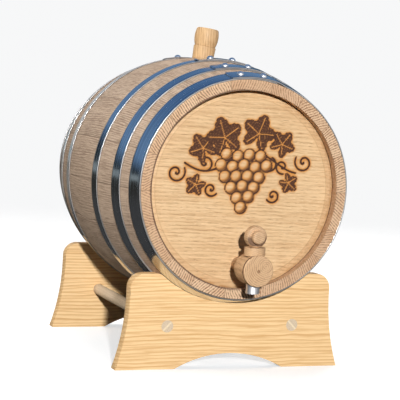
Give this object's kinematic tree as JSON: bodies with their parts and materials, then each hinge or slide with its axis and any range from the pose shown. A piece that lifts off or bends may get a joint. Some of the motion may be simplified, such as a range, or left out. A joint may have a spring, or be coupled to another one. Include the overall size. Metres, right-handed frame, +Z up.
{
  "type": "small oak barrel with tap on a cradle",
  "caption": "Small oak barrel with steel hoops, lying on a wooden cradle, with a turned wooden tap in the front head and a bung on top, for ageing and serving wine or spirits.",
  "frame": {"origin": "on the floor, under the middle of the whole object's box", "axes": "+Z up, the barrel's axis along Y with the tapped front head towards -Y, +X to the right as seen facing the tap"},
  "size_m": [0.208, 0.2764, 0.2785],
  "materials": {
    "oak_staves": "sanded oak, unvarnished, weathered to a light grey-brown",
    "oak_heads": "planed oak with a burnt decoration",
    "steel_hoops": "bright rolled stainless band",
    "steel_rivets": "bright domed steel",
    "bung_wood": "turned and sanded",
    "tap_wood": "turned and waxed, with a burnt line",
    "cork": "cork sleeve",
    "spout_steel": "drawn stainless tube",
    "cradle_wood": "planed pine, clear",
    "dowel_wood": "ramin dowel",
    "wedge_wood": "pale hardwood, sanded flush"
  },
  "bodies": {
    "cradle": {"cradle_front_board": "cradle_wood", "cradle_rear_board": "cradle_wood", "left_stretcher": "dowel_wood", "right_stretcher": "dowel_wood", "stretcher_wedges": "wedge_wood"},
    "barrel": {"stave_01": "oak_staves", "stave_02": "oak_staves", "stave_03": "oak_staves", "stave_04": "oak_staves", "stave_05": "oak_staves", "stave_06": "oak_staves", "stave_07": "oak_staves", "stave_08": "oak_staves", "stave_09": "oak_staves", "stave_10": "oak_staves", "stave_11": "oak_staves", "stave_12": "oak_staves", "stave_13": "oak_staves", "stave_14": "oak_staves", "stave_15": "oak_staves", "stave_16": "oak_staves", "stave_17": "oak_staves", "stave_18": "oak_staves", "front_head_bottom_board": "oak_heads", "front_head_middle_board": "oak_heads", "front_head_top_board": "oak_heads", "rear_head_bottom_board": "oak_heads", "rear_head_middle_board": "oak_heads", "rear_head_top_board": "oak_heads", "front_bilge_hoop": "steel_hoops", "front_head_hoop": "steel_hoops", "front_quarter_hoop": "steel_hoops", "rear_bilge_hoop": "steel_hoops", "rear_head_hoop": "steel_hoops", "rear_quarter_hoop": "steel_hoops", "front_bilge_hoop_rivets": "steel_rivets", "front_head_hoop_rivets": "steel_rivets", "front_quarter_hoop_rivets": "steel_rivets", "rear_bilge_hoop_rivets": "steel_rivets", "rear_head_hoop_rivets": "steel_rivets", "rear_quarter_hoop_rivets": "steel_rivets"},
    "bung": {"bung": "bung_wood"},
    "tap": {"tap_body": "tap_wood", "tap_cork_liner": "cork"},
    "key": {"tap_key_core": "spout_steel", "tap_key_handle": "tap_wood"}
  },
  "joints": [
    {"name": "barrel_lift", "type": "slide", "parent": "cradle", "child": "barrel", "axis": [0, 0, 1], "range_m": [0, 0.12]},
    {"name": "bung_pull", "type": "slide", "parent": "barrel", "child": "bung", "axis": [0.1392, 0, 0.9903], "range_m": [0, 0.05]},
    {"name": "tap_pull", "type": "slide", "parent": "barrel", "child": "tap", "axis": [0, -1, 0], "range_m": [0, 0.06]},
    {"name": "key_turn", "type": "hinge", "parent": "tap", "child": "key", "pos_m": [0, -0.12775, 0.087], "axis": [0, 0, 1], "continuous": true}
  ]
}
